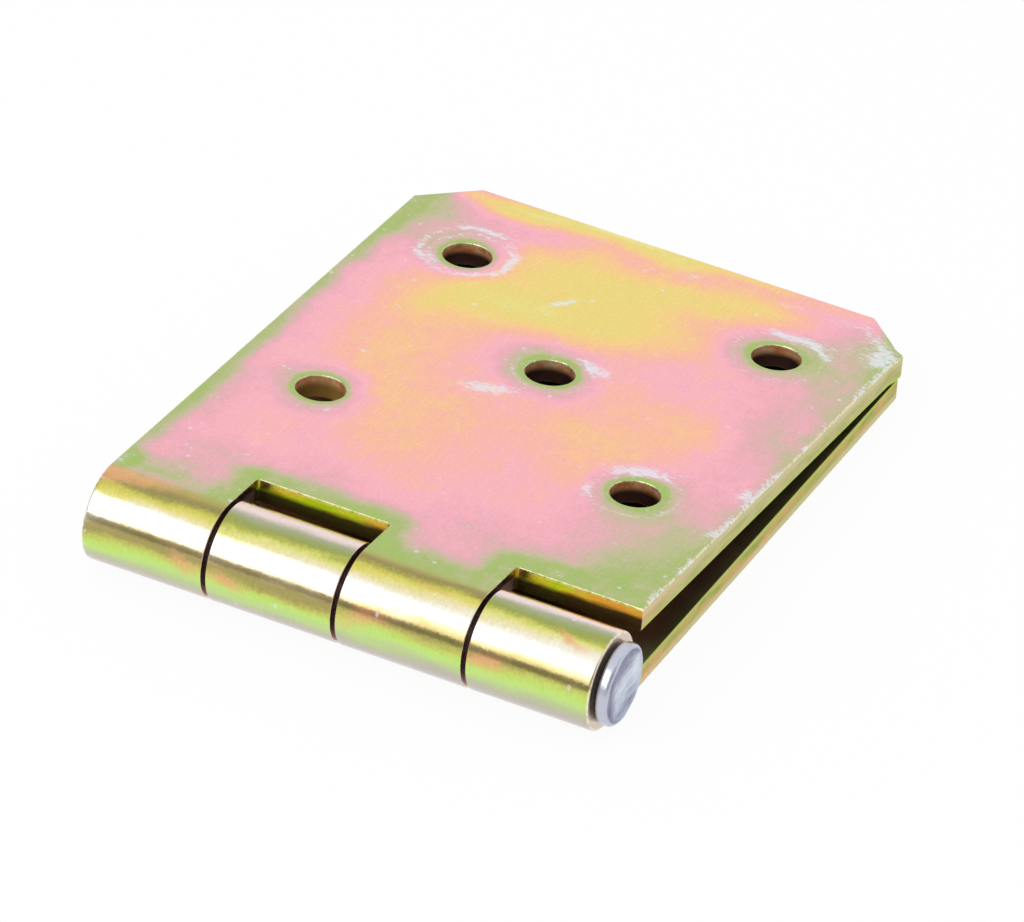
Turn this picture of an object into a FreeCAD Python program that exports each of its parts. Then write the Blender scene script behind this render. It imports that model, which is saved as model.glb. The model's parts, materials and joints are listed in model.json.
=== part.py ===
import FreeCAD, Part
import math
import os

# Butt hinge for building work, lying closed on its lower leaf. All sizes are in millimetres.
# X runs along the pin towards its head, Y from the barrel to the free edges, Z up.
# The origin is the middle of the lower leaf's screw holes, on the face that meets the wall.

# Sheet leaves
leaf_length = 65.0
leaf_width = 84.6
sheet = 3.0
corner_chamfer = 6.3
outline_round = 0.35
notch_round = 0.15

# Screw holes: one at each corner of a rectangle and one in its middle
screw_hole = 6.0
screw_from_side = 12.0
screw_from_free_edge = 15.8
screw_from_pin = 30.0

# Barrel
pin_diameter = 6.0
pin_play = 0.05
end_knuckle = 15.8
knuckle_gap = 0.6
knuckle_back_gap = 1.0
notch_corner = 0.5
curl_seam = 0.4

# Pin
head_diameter = 10.0
head_thickness = 1.5
head_gap = 0.3
head_rim_round = 0.55
head_land = 0.9
head_dish = 0.25
tail_chamfer = 0.5

# Space left between the free edges when the hinge is closed
closed_gap = 0.03

bore_radius = pin_diameter / 2 + pin_play
barrel_radius = bore_radius + sheet
notch_back = barrel_radius + knuckle_back_gap
half_length = leaf_length / 2
first_row = screw_from_pin
last_row = leaf_width - screw_from_free_edge
screw_middle = (first_row + last_row) / 2
screw_column = half_length - screw_from_side
reach = barrel_radius + leaf_width
tiny = 0.001

x_axis = FreeCAD.Vector(1, 0, 0)
y_axis = FreeCAD.Vector(0, 1, 0)
z_axis = FreeCAD.Vector(0, 0, 1)
pin_centre = FreeCAD.Vector(0, 0, 0)


def polar(radius, degrees):
    # Point of the barrel's cross-section. Zero points at the free edge, 90 at the outer face.
    angle = math.radians(degrees)
    return FreeCAD.Vector(0, radius * math.cos(angle), radius * math.sin(angle))


def arc(radius, start, end):
    # Arc about the pin's centre line, between two angles in degrees.
    middle = polar(radius, (start + end) / 2)
    return Part.Arc(polar(radius, start), middle, polar(radius, end)).toShape()


def rolled_sheet():
    # Sheet with its edge rolled into a full-length barrel, the outer face up.
    face_angle = 90
    curl_end = 360 + math.degrees(math.asin((bore_radius - curl_seam) / barrel_radius))
    free_outer = FreeCAD.Vector(0, leaf_width, barrel_radius)
    free_inner = FreeCAD.Vector(0, leaf_width, bore_radius)
    outline = [
        Part.makeLine(free_outer, polar(barrel_radius, face_angle)),
        arc(barrel_radius, face_angle, curl_end),
        Part.makeLine(polar(barrel_radius, curl_end), polar(bore_radius, curl_end)),
        arc(bore_radius, curl_end, face_angle),
        Part.makeLine(polar(bore_radius, face_angle), free_inner),
        Part.makeLine(free_inner, free_outer),
    ]
    section = Part.Face(Part.Wire(outline))
    section.translate(x_axis * -half_length)
    return section.extrude(x_axis * leaf_length)


def knuckle_notch(x_start, x_end):
    # Room for a knuckle of the other leaf, its two corners in the leaf rounded.
    low_corner = FreeCAD.Vector(x_start, -reach, -reach)
    notch = Part.makeBox(x_end - x_start, reach + notch_back, 2 * reach, low_corner)
    corners = []
    for edge in notch.Edges:
        middle = edge.CenterOfMass
        if abs(middle.y - notch_back) < tiny and abs(middle.z) < tiny:
            corners.append(edge)
    return notch.makeFillet(notch_corner, corners)


def corner_cut(side):
    # Prism that takes off the corner at the free edge, on the -X or +X side.
    outside = side * (half_length + sheet)
    chamfer_x = side * (half_length - corner_chamfer)
    chamfer_y = leaf_width - corner_chamfer
    points = [
        FreeCAD.Vector(chamfer_x, leaf_width, -reach),
        FreeCAD.Vector(side * half_length, chamfer_y, -reach),
        FreeCAD.Vector(outside, chamfer_y, -reach),
        FreeCAD.Vector(outside, leaf_width + sheet, -reach),
        FreeCAD.Vector(chamfer_x, leaf_width + sheet, -reach),
    ]
    return Part.Face(Part.makePolygon(points + points[:1])).extrude(z_axis * (2 * reach))


def screw_cuts():
    # Cylinders for the five screw holes.
    places = [(0, screw_middle)]
    for column in (-screw_column, screw_column):
        for row in (first_row, last_row):
            places.append((column, row))
    cuts = []
    for x, y in places:
        cuts.append(Part.makeCylinder(screw_hole / 2, reach, FreeCAD.Vector(x, y, 0), z_axis))
    return cuts


def outer_edges(blank):
    # Edges of the outer face, and the circles round the ends of the knuckles.
    edges = []
    for edge in blank.Edges:
        middle = edge.CenterOfMass
        on_face = middle.z > barrel_radius - tiny and middle.y > tiny
        if on_face:
            edges.append(edge)
        elif isinstance(edge.Curve, Part.Circle) and abs(edge.Curve.Radius - barrel_radius) < tiny:
            edges.append(edge)
    return edges


def is_outline(edge):
    # True on the leaf's two sides, its free edge and its cut corners.
    at_side = abs(edge.CenterOfMass.x) > half_length - tiny
    return at_side or edge.BoundBox.YMax > leaf_width - corner_chamfer - tiny


def is_notch(edge):
    # True round the notches, away from the rounded outline.
    inside = abs(edge.CenterOfMass.x) < half_length - outline_round - tiny
    return inside and edge.CenterOfMass.y < notch_back + tiny


def leaf():
    # Leaf with its outer face up and its knuckles first and third from the -X end.
    first_end = -half_length + end_knuckle
    third_end = half_length - end_knuckle
    half_gap = knuckle_gap / 2
    cuts = [
        knuckle_notch(first_end - half_gap, half_gap),
        knuckle_notch(third_end - half_gap, reach),
        corner_cut(-1),
        corner_cut(1),
    ]
    blank = rolled_sheet().cut(Part.Compound(cuts)).removeSplitter()
    blank = blank.makeFillet(outline_round, list(filter(is_outline, outer_edges(blank))))
    blank = blank.makeFillet(notch_round, list(filter(is_notch, outer_edges(blank))))
    return blank.cut(Part.Compound(screw_cuts()))


def closed_slope():
    # Angle in degrees at which the upper leaf's free edge comes down on the lower leaf.
    to_free_edge = math.hypot(leaf_width, bore_radius)
    above_pin = math.asin((bore_radius - closed_gap) / to_free_edge)
    return math.degrees(above_pin + math.atan(bore_radius / leaf_width))


def hinge_pin():
    # Rod with an upset head, its rim rounded and its face dished inside a narrow land.
    shank = pin_diameter / 2
    head = head_diameter / 2
    tail = -half_length
    under = half_length + head_gap
    face = under + head_thickness
    rim = head_rim_round
    rim_middle = rim * (1 - math.sqrt(0.5))
    dish_edge = head - head_land
    dish_radius = (dish_edge ** 2 + head_dish ** 2) / (2 * head_dish)
    dish_turn = math.asin(dish_edge / dish_radius) / 2
    dish_middle = face - head_dish + dish_radius * (1 - math.cos(dish_turn))

    def at(x, radius):
        return FreeCAD.Vector(x, radius, 0)

    profile = [
        Part.makeLine(at(tail, 0), at(tail, shank - tail_chamfer)),
        Part.makeLine(at(tail, shank - tail_chamfer), at(tail + tail_chamfer, shank)),
        Part.makeLine(at(tail + tail_chamfer, shank), at(under, shank)),
        Part.makeLine(at(under, shank), at(under, head)),
        Part.makeLine(at(under, head), at(face - rim, head)),
        Part.Arc(
            at(face - rim, head), at(face - rim_middle, head - rim_middle), at(face, head - rim)
        ).toShape(),
        Part.makeLine(at(face, head - rim), at(face, dish_edge)),
        Part.Arc(
            at(face, dish_edge), at(dish_middle, dish_radius * math.sin(dish_turn)), at(face - head_dish, 0)
        ).toShape(),
        Part.makeLine(at(face - head_dish, 0), at(tail, 0)),
    ]
    return Part.Face(Part.Wire(profile)).revolve(pin_centre, x_axis, 360)


# Both leaves are the same stamping. The lower one is turned over about the barrel's middle.
upper_leaf = leaf()
upper_leaf.rotate(pin_centre, x_axis, -closed_slope())
lower_leaf = leaf()
lower_leaf.rotate(pin_centre, y_axis, 180)

pieces = {"upper_leaf": upper_leaf, "lower_leaf": lower_leaf, "hinge_pin": hinge_pin()}

os.makedirs("parts", exist_ok=True)
for name, shape in pieces.items():
    shape.translate(FreeCAD.Vector(0, -screw_middle, barrel_radius))
    shape.exportStep("parts/" + name + ".step")
    print(name, "solids", len(shape.Solids), "volume", round(shape.Volume, 1), "valid", shape.isValid())
print("pin axis at y", round(-screw_middle, 3), "z", round(barrel_radius, 3))
print("closed slope", round(closed_slope(), 4))
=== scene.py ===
import bmesh
import bpy
import json
import math
from mathutils import Matrix, Vector, noise
from mathutils.geometry import delaunay_2d_cdt


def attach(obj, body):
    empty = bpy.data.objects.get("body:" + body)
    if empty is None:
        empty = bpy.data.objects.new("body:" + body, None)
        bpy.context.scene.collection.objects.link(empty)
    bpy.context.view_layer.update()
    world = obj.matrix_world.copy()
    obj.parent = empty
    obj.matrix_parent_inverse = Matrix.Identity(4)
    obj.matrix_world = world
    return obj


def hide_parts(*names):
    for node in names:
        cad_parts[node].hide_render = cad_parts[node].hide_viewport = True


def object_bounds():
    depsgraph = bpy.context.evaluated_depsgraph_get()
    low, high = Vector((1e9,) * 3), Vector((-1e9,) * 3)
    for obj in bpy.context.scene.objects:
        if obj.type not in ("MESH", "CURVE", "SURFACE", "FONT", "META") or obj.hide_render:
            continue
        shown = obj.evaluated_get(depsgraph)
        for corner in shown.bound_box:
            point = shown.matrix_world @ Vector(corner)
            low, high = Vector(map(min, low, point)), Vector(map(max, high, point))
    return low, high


# Butt hinge of rolled sheet steel with iridescent yellow plating, closed on a white table.
# Shapes are worked out in millimetres and put in place in metres.
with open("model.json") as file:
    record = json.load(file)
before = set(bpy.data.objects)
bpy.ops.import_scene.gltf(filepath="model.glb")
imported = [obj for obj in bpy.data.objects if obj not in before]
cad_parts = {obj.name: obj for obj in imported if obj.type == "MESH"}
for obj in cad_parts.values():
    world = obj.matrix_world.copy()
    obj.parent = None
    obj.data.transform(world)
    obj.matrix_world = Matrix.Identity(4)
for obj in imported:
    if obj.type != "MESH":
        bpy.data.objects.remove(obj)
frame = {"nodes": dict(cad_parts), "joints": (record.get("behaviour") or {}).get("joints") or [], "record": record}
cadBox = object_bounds()
mm = 0.001
tiny = 0.01
pinPlace = Vector(frame["joints"][0]["pos_m"])
print("frame loaded, pin at", [round(value, 5) for value in pinPlace])


# Small helpers for nodes. They add to the tree that was opened last.
opened = []


def feed(socket, value):
    if isinstance(value, bpy.types.NodeSocket):
        opened[-1].links.new(value, socket)
    else:
        socket.default_value = value


def put(kind, values=None, **settings):
    node = opened[-1].nodes.new("ShaderNode" + kind)
    for name, value in settings.items():
        setattr(node, name, value)
    for name, value in (values or {}).items():
        feed(node.inputs[name], value)
    return node


def calc(operation, *values):
    return put("Math", dict(enumerate(values)), operation=operation).outputs[0]


def minus(first, second):
    return calc("SUBTRACT", first, second)


def times(*values):
    result = values[0]
    for value in values[1:]:
        result = calc("MULTIPLY", result, value)
    return result


def added(base, value, amount):
    return calc("MULTIPLY_ADD", value, amount, base)


def swayed(base, cloudy, amount):
    # Moves base up and down with a cloud, whose values lie about a half
    return added(base, minus(cloudy, 0.5), amount)


def vectorCalc(operation, *values, output=0):
    return put("VectorMath", dict(enumerate(values)), operation=operation).outputs[output]


def distanceTo(place, centre):
    return vectorCalc("DISTANCE", place, centre, output="Value")


def separate(vector):
    parts = put("SeparateXYZ", {"Vector": vector}).outputs
    return parts["X"], parts["Y"], parts["Z"]


def combine(x, y):
    return put("CombineXYZ", {"X": x, "Y": y}).outputs[0]


def attribute(name, output):
    return put("Attribute", attribute_name=name).outputs[output]


def turnedBy(place, angle):
    return put("VectorRotate", {"Vector": place, "Angle": angle}, rotation_type="Z_AXIS").outputs[0]


def scaled(vector, factor):
    return put("VectorMath", {0: vector, "Scale": factor}, operation="SCALE").outputs[0]


def softStep(value, low, high):
    # 0 below low, 1 above high; turned round where low is the larger
    values = {"Value": value, "From Min": low, "From Max": high}
    return put("MapRange", values, interpolation_type="SMOOTHSTEP").outputs[0]


def mixColour(factor, first, second, blend="MIX"):
    colours = [(*colour, 1) if isinstance(colour, tuple) else colour for colour in (first, second)]
    sockets = {0: factor, 6: colours[0], 7: colours[1]}
    return put("Mix", sockets, data_type="RGBA", blend_type=blend).outputs[2]


def mixValue(factor, first, second):
    return put("Mix", {0: factor, 2: first, 3: second}).outputs[0]


def colourRamp(factor, stops):
    node = put("ValToRGB", {"Fac": factor})
    ramp = node.color_ramp
    ramp.interpolation = "B_SPLINE"
    ramp.elements[0].position = stops[0][0]
    ramp.elements[1].position = stops[-1][0]
    for place, _ in stops[1:-1]:
        ramp.elements.new(place)
    for element, (_, colour) in zip(ramp.elements, stops):
        element.color = (*colour, 1)
    return node.outputs["Color"]


def cloud(place, scale, detail, roughness):
    values = {"Vector": place, "Scale": scale, "Detail": detail, "Roughness": roughness}
    return put("TexNoise", values).outputs["Fac"]


def stretch(place, turn, size):
    # Coordinates turned and then divided by size, for marks that run one way
    values = {"Vector": place, "Rotation": (0, 0, math.radians(turn)), "Scale": size}
    return put("Mapping", values, vector_type="TEXTURE").outputs[0]


def newGroup(name, inputs, outputs):
    # Inputs are (label, default value), and a vector's default is None
    tree = bpy.data.node_groups.new(name, "ShaderNodeTree")
    for label, value in inputs:
        kind = "NodeSocketVector" if value is None else "NodeSocketFloat"
        socket = tree.interface.new_socket(name=label, in_out="INPUT", socket_type=kind)
        if value is not None:
            socket.default_value = value
    for label in outputs:
        tree.interface.new_socket(name=label, in_out="OUTPUT", socket_type="NodeSocketFloat")
    opened.append(tree)
    return tree, tree.nodes.new("NodeGroupInput").outputs, tree.nodes.new("NodeGroupOutput").inputs


def useGroup(group, values):
    return put("Group", values, node_tree=group).outputs


def addObject(name, data):
    made = bpy.data.objects.new(name, data)
    bpy.context.scene.collection.objects.link(made)
    return made


def newMaterial(name):
    material = bpy.data.materials.new(name)
    material.use_nodes = True
    opened.append(material.node_tree)
    return material, material.node_tree.nodes["Principled BSDF"].inputs


# The stamping that both leaves are made from, as flat sheet before its edge is rolled.
# Along runs beside the pin, across from the pin's axis to the free edge.
sheet = {
    "length": 65.0,
    "width": 84.6,
    "thickness": 3.0,
    "boreRadius": 3.05,
    "curlSeam": 0.4,
    "cornerCut": 6.3,
    "endKnuckle": 15.8,
    "knuckleGap": 0.6,
    "knuckleBackGap": 1.0,
    "notchCorner": 0.5,
    "holeRadius": 3.0,
    "holeRows": (30.0, 68.8),
    "holeColumn": 20.5,
    "outlineRound": 0.35,
    "notchRound": 0.15,
    "holeRound": 0.22,
    "innerRound": 0.08,
    "closedGap": 0.03,
    "gridStep": 1.5,
    "gridMargin": 0.9,
    "curlStep": 4.0,
    "holeSides": 48,
    "cornerSteps": 4,
    "roundSteps": 3,
    "sharpAngle": 32,
    "wave": 0.035,
    "waveScale": 0.05,
    "waveSeed": 3.7,
    "waveStart": 20,
}
barrelRadius = sheet["boreRadius"] + sheet["thickness"]
neutralRadius = sheet["boreRadius"] + sheet["thickness"] / 2
halfLength = sheet["length"] / 2
notchBack = barrelRadius + sheet["knuckleBackGap"]
holeMiddle = sum(sheet["holeRows"]) / 2
seamAngle = math.asin((sheet["boreRadius"] - sheet["curlSeam"]) / barrelRadius)
curlAngle = 1.5 * math.pi + seamAngle
curlLength = curlAngle * neutralRadius
halfGap = sheet["knuckleGap"] / 2
knuckles = [
    (-halfLength, -halfLength + sheet["endKnuckle"] - halfGap),
    (halfGap, halfLength - sheet["endKnuckle"] - halfGap),
]
holeColumns = (-sheet["holeColumn"], sheet["holeColumn"])
holeCentres = [(0, holeMiddle)] + [(x, row) for x in holeColumns for row in sheet["holeRows"]]


def curlRows():
    # Distances across the sheet at which it is divided where it rolls
    count = round(math.degrees(curlAngle) / sheet["curlStep"])
    return [-curlLength * (1 - row / count) for row in range(count)]


def sideRun(x, start, end):
    # Points up or down one straight side, on the curl's own rows where it rolls
    low, high = sorted((start, end))
    flat = max(0, low)
    count = max(1, round((high - flat) / sheet["gridStep"]))
    rows = {low} | {row for row in curlRows() if low < row < high}
    rows = sorted(rows | {flat + (high - flat) * step / count for step in range(count)})
    if start > end:
        rows = [start] + rows[:0:-1]
    return [(x, row) for row in rows]


def straightRun(start, end, step):
    count = max(1, round(math.dist(start, end) / step))
    return [tuple(a + (b - a) * i / count for a, b in zip(start, end)) for i in range(count)]


def notchTurn(x, side):
    # Rounded inner corner of a notch, from its side wall round to its back or the other way
    radius = sheet["notchCorner"]
    centreX = x + side * radius
    centreY = notchBack - radius
    points = []
    count = sheet["cornerSteps"]
    for step in range(count + 1):
        angle = math.pi / 2 * step / count
        points.append((centreX - side * radius * math.cos(angle), centreY + radius * math.sin(angle)))
    return points if side > 0 else points[::-1]


def outlineLoop():
    # The blank's outline, anticlockwise from the far end of the first knuckle
    cut = sheet["cornerCut"]
    step = sheet["gridStep"]
    corner = sheet["notchCorner"]
    top = sheet["width"]
    low = -curlLength
    secondStart = knuckles[1][0]
    loop = []
    for (start, end), after in zip(knuckles, (secondStart - corner, halfLength)):
        loop += straightRun((start, low), (end, low), step)
        loop += sideRun(end, low, notchBack - corner)
        loop += notchTurn(end, 1)
        loop += straightRun((end + corner, notchBack), (after, notchBack), step)[1:]
        if after < halfLength:
            loop += notchTurn(secondStart, -1)
            loop += sideRun(secondStart, notchBack - corner, low)[1:]
    loop += sideRun(halfLength, notchBack, top - cut)
    loop += straightRun((halfLength, top - cut), (halfLength - cut, top), step / 2)
    loop += straightRun((halfLength - cut, top), (cut - halfLength, top), step)
    loop += straightRun((cut - halfLength, top), (-halfLength, top - cut), step / 2)
    loop += sideRun(-halfLength, top - cut, low)
    return loop


def holeLoop(centre):
    # Clockwise, so that the metal is on the left as it is along the outline
    radius = sheet["holeRadius"]
    turns = [-2 * math.pi * step / sheet["holeSides"] for step in range(sheet["holeSides"])]
    return [(centre[0] + radius * math.cos(turn), centre[1] + radius * math.sin(turn)) for turn in turns]


def inHole(point, radius):
    return any(math.dist(point[:2], centre) < radius for centre in holeCentres)


def edgeRound(point):
    # Radius that shearing leaves on the outer edge at this point of a loop
    x, y = point
    if inHole(point, sheet["holeRadius"] + tiny):
        return sheet["holeRound"]
    if abs(x) < halfLength - tiny and y < notchBack + tiny:
        return sheet["notchRound"]
    return sheet["outlineRound"]


def inwards(loop):
    # Direction into the metal at each point, longer at corners so that offsets stay parallel
    directions = []
    for index, point in enumerate(loop):
        before = Vector(loop[index - 1])
        after = Vector(loop[(index + 1) % len(loop)])
        here = Vector(point)
        first = (here - before).normalized()
        second = (after - here).normalized()
        normal = Vector((-first.y - second.y, first.x + second.x)).normalized()
        lean = max(0.5, normal.dot(Vector((-first.y, first.x))))
        directions.append(normal / lean)
    return directions


def insideSheet(x, y, margin):
    if abs(x) > halfLength - margin or y > sheet["width"] - margin or y < -curlLength + margin:
        return False
    if halfLength - abs(x) + sheet["width"] - y < sheet["cornerCut"] + 1.5 * margin:
        return False
    if inHole((x, y), sheet["holeRadius"] + margin):
        return False
    onKnuckle = any(start + margin < x < end - margin for start, end in knuckles)
    return onKnuckle or y > notchBack + margin


def gridPoints():
    # Points that divide the faces: on the curl's rows, and on an even grid over the flat part
    step = sheet["gridStep"]
    count = round(sheet["length"] / step)
    columns = [-halfLength + sheet["length"] * i / count for i in range(1, count)]
    flatRows = [row * step for row in range(int(sheet["width"] / step) + 1)]
    margin = sheet["gridMargin"]
    return [(x, y) for y in curlRows() + flatRows for x in columns if insideSheet(x, y, margin)]


def rollPoint(x, y, depth):
    # A point of the flat sheet, at a depth under its outer face, after the edge is rolled
    radius = barrelRadius - depth
    if y >= 0:
        scale = sheet["waveScale"]
        wave = (noise.noise(Vector((x * scale, y * scale, sheet["waveSeed"]))) - 1) / 2
        wave *= sheet["wave"] * min(1, y / sheet["waveStart"])
        return Vector((x, y, radius + wave))
    angle = -y / neutralRadius
    return Vector((x, -radius * math.sin(angle), radius * math.cos(angle)))


def addCap(bm, layer, borders, depth, flip):
    # Outer or inner face of the sheet. Borders hold the vertices and places of its loops.
    loops = [[place for place, _ in ring] for _, ring in borders]
    holeRing = math.dist(loops[1][0], holeCentres[0]) - tiny
    known = [vertex for row, _ in borders for vertex in row]
    points = [place for loop in loops for place in loop]
    points += [Vector(point) for point in gridPoints()]
    edges = []
    start = 0
    for loop in loops:
        edges += [(start + i, start + (i + 1) % len(loop)) for i in range(len(loop))]
        start += len(loop)
    keepInside, mergeDistance = 2, 1e-6
    made = delaunay_2d_cdt(points, edges, [], keepInside, mergeDistance)
    vertices = []
    for place, sources in zip(made[0], made[3]):
        onBorder = [source for source in sources if source < len(known)]
        if onBorder:
            vertices.append(known[onBorder[0]])
        else:
            vertex = bm.verts.new(rollPoint(place.x, place.y, depth))
            vertex[layer] = Vector((place.x, place.y, depth))
            vertices.append(vertex)
    for face in made[2]:
        corners = [vertices[index] for index in face]
        middle = sum((corner[layer] for corner in corners), Vector()) / 3
        if not inHole(middle, holeRing):
            bm.faces.new(corners[::-1] if flip else corners)


def wallRings(loop):
    # Places and depths of the rings down a sheared wall, from the outer face to the inner one
    pushes = inwards(loop)
    rounds = [edgeRound(point) for point in loop]
    thickness = sheet["thickness"]
    inner = sheet["innerRound"]
    rings = []
    for step in range(sheet["roundSteps"] + 1):
        turn = math.pi / 2 * step / sheet["roundSteps"]
        inset, drop = 1 - math.sin(turn), 1 - math.cos(turn)
        rings.append([(Vector(point) + push * size * inset, size * drop)
                      for point, push, size in zip(loop, pushes, rounds)])
    rings.append([(Vector(point), thickness - inner) for point in loop])
    rings.append([(Vector(point) + push * inner, thickness) for point, push in zip(loop, pushes)])
    return rings


def buildLeaf(name, turnedOver, slope, burrs):
    bm = bmesh.new()
    layer = bm.verts.layers.float_vector.new("flatPlace")
    outer = []
    inner = []
    for loop in [outlineLoop()] + [holeLoop(centre) for centre in holeCentres]:
        rings = wallRings(loop)
        made = []
        for ring in rings:
            row = []
            for place, depth in ring:
                push = Vector((0, 0, 0))
                for centre, size, shift in burrs:
                    fade = math.exp(-(place - Vector(centre)).length_squared / size ** 2)
                    push += Vector(shift) * fade
                vertex = bm.verts.new(rollPoint(place.x, place.y, depth) + push)
                vertex[layer] = Vector((place.x, place.y, depth))
                row.append(vertex)
            made.append(row)
        for upper, lower in zip(made, made[1:]):
            for index in range(len(upper)):
                after = (index + 1) % len(upper)
                bm.faces.new((upper[index], lower[index], lower[after], upper[after]))
        outer.append((made[0], rings[0]))
        inner.append((made[-1], rings[-1]))
    addCap(bm, layer, outer, 0, False)
    addCap(bm, layer, inner, sheet["thickness"], True)
    # The triangulation leaves out a sliver where three points of the outline stand in a row
    bmesh.ops.holes_fill(bm, edges=[edge for edge in bm.edges if edge.is_boundary], sides=3)
    turn = Matrix.Rotation(math.pi if turnedOver else -slope, 4, "Y" if turnedOver else "X")
    bm.transform(Matrix.Translation(pinPlace) @ turn @ Matrix.Scale(mm, 4))
    return finishMesh(bm, name, sheet["sharpAngle"])


def finishMesh(bm, name, sharpAngle):
    bmesh.ops.recalc_face_normals(bm, faces=bm.faces)
    # For a thin rolled sheet the call above can choose the wrong side
    if bm.calc_volume(signed=True) < 0:
        bmesh.ops.reverse_faces(bm, faces=bm.faces)
    mesh = bpy.data.meshes.new(name)
    bm.to_mesh(mesh)
    bm.free()
    mesh.shade_smooth()
    mesh.set_sharp_from_angle(angle=math.radians(sharpAngle))
    piece = addObject(name, mesh)
    weighted = piece.modifiers.new("evenShading", "WEIGHTED_NORMAL")
    weighted.keep_sharp = True
    weighted.weight = 80
    print(name, "has", len(mesh.vertices), "vertices")
    return piece


# The pin: a rod through the knuckles with its end upset into a low head
pinShape = {
    "radius": 3.0,
    "headRadius": 5.0,
    "headThickness": 1.5,
    "headGap": 0.3,
    "rimRound": 0.5,
    "underRound": 0.45,
    "land": 0.6,
    "dish": 0.25,
    "tailCut": 0.5,
    "hammering": 0.07,
    "hammeredWidth": 0.3,
    "hammerClouds": [(0.55, 1.3, 1.0), (1.6, 5.1, 0.4)],
    "tailMiddle": 1.4,
    "segments": 96,
    "roundSteps": (5, 6),
    "dishSteps": 12,
    "sharpAngle": 40,
}
headBack = halfLength + pinShape["headGap"]
headFace = headBack + pinShape["headThickness"]


def pinProfile():
    # (distance along the pin, radius) from the tail to the middle of the head's face
    radius = pinShape["radius"]
    head = pinShape["headRadius"]
    rim = pinShape["rimRound"]
    cut = pinShape["tailCut"]
    profile = [(-halfLength, 0.0), (-halfLength, pinShape["tailMiddle"]), (-halfLength, radius - cut)]
    profile += [(-halfLength + cut, radius), (0.0, radius), (headBack, radius)]
    back = pinShape["underRound"]
    backSteps, rimSteps = pinShape["roundSteps"]
    for step in range(backSteps + 1):
        angle = math.pi / 2 * step / backSteps
        profile.append((headBack + back - back * math.cos(angle), head - back + back * math.sin(angle)))
    for step in range(rimSteps + 1):
        angle = math.pi / 2 * step / rimSteps
        profile.append((headFace - rim + rim * math.sin(angle), head - rim + rim * math.cos(angle)))
    edge = head - pinShape["land"]
    for step in range(pinShape["dishSteps"] + 1):
        share = 1 - step / pinShape["dishSteps"]
        profile.append((headFace - pinShape["dish"] * (1 - share ** 2) ** 2, edge * share))
    return profile


def buildPin(name):
    bm = bmesh.new()
    layer = bm.verts.layers.float_vector.new("flatPlace")
    hammeredFrom = headFace - pinShape["rimRound"] - pinShape["hammeredWidth"]
    rings = []
    for x, radius in pinProfile():
        ring = []
        count = pinShape["segments"] if radius > 0 else 1
        for step in range(count):
            angle = 2 * math.pi * step / count
            y = radius * math.cos(angle)
            z = radius * math.sin(angle)
            dent = 0.0
            if x > hammeredFrom:
                for scale, seed, amount in pinShape["hammerClouds"]:
                    cloudy = noise.noise(Vector((y * scale, z * scale, seed)))
                    dent += cloudy * pinShape["hammering"] * amount
            vertex = bm.verts.new((x + dent, y, z))
            vertex[layer] = Vector((x, y, z))
            ring.append(vertex)
        rings.append(ring)
    for lower, upper in zip(rings, rings[1:]):
        for step in range(pinShape["segments"]):
            after = (step + 1) % pinShape["segments"]
            corners = [ring[index % len(ring)] for ring, index in
                       ((lower, step), (lower, after), (upper, after), (upper, step))]
            bm.faces.new(list(dict.fromkeys(corners)))
    bm.transform(Matrix.Translation(pinPlace) @ Matrix.Scale(mm, 4))
    return finishMesh(bm, name, pinShape["sharpAngle"])


# Plating colours, from the thin film at the sheared edges to the thick film in mid-face
filmColours = [
    (0.0, (0.38, 0.56, 0.13)), (0.10, (0.43, 0.515, 0.18)), (0.20, (0.51, 0.545, 0.27)),
    (0.30, (0.65, 0.50, 0.39)), (0.40, (0.84, 0.43, 0.49)), (0.48, (0.94, 0.45, 0.53)),
    (0.53, (0.96, 0.48, 0.55)), (0.60, (0.97, 0.485, 0.44)), (0.70, (0.97, 0.54, 0.32)),
    (0.84, (0.93, 0.68, 0.23)), (1.0, (0.82, 0.70, 0.20)), (1.15, (0.90, 0.78, 0.30)),
    (1.3, (0.97, 0.88, 0.50)),
]

# Colours round the barrel by angle in degrees: 0 at its top, 90 in front, 180 underneath. Mostly plating film; the
# near-white band from 44 to 60 is a painted highlight where the soft box reflects, and the dark band from 66 to 77
# a painted dark reflection.
frontColours = [
    (44, (0.96, 0.94, 0.86)), (54, (0.96, 0.93, 0.82)), (60, (0.92, 0.84, 0.62)),
    (66, (0.60, 0.48, 0.24)), (71, (0.44, 0.36, 0.15)), (77, (0.37, 0.32, 0.10)),
    (84, (0.62, 0.60, 0.15)), (92, (0.56, 0.82, 0.17)), (100, (0.58, 0.80, 0.26)),
    (108, (0.54, 0.66, 0.30)), (116, (0.54, 0.56, 0.37)), (125, (0.54, 0.48, 0.43)),
    (136, (0.56, 0.49, 0.48)), (200, (0.62, 0.58, 0.40)), (300, (0.46, 0.40, 0.20)),
]
upperBarrelColours = [
    (-60, (0.46, 0.40, 0.20)), (-8, (0.42, 0.46, 0.14)), (3, (0.44, 0.42, 0.12)),
    (9, (0.42, 0.34, 0.12)), (14, (0.32, 0.27, 0.11)), (18, (0.36, 0.33, 0.10)),
    (23, (0.64, 0.60, 0.11)), (30, (0.80, 0.72, 0.18)), (37, (0.88, 0.80, 0.52)),
] + frontColours
lowerBarrelColours = [
    (-60, (0.80, 0.80, 0.36)), (-40, (0.84, 0.80, 0.50)), (-20, (0.68, 0.46, 0.38)),
    # The pale pink stop at -12 is a painted highlight along the top of the lower knuckles
    (-12, (0.94, 0.76, 0.70)), (-5, (0.80, 0.66, 0.64)), (2, (0.42, 0.42, 0.30)),
    (11, (0.34, 0.42, 0.15)), (19, (0.34, 0.36, 0.08)), (26, (0.76, 0.78, 0.17)),
    (36, (0.88, 0.78, 0.50)),
] + frontColours


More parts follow.
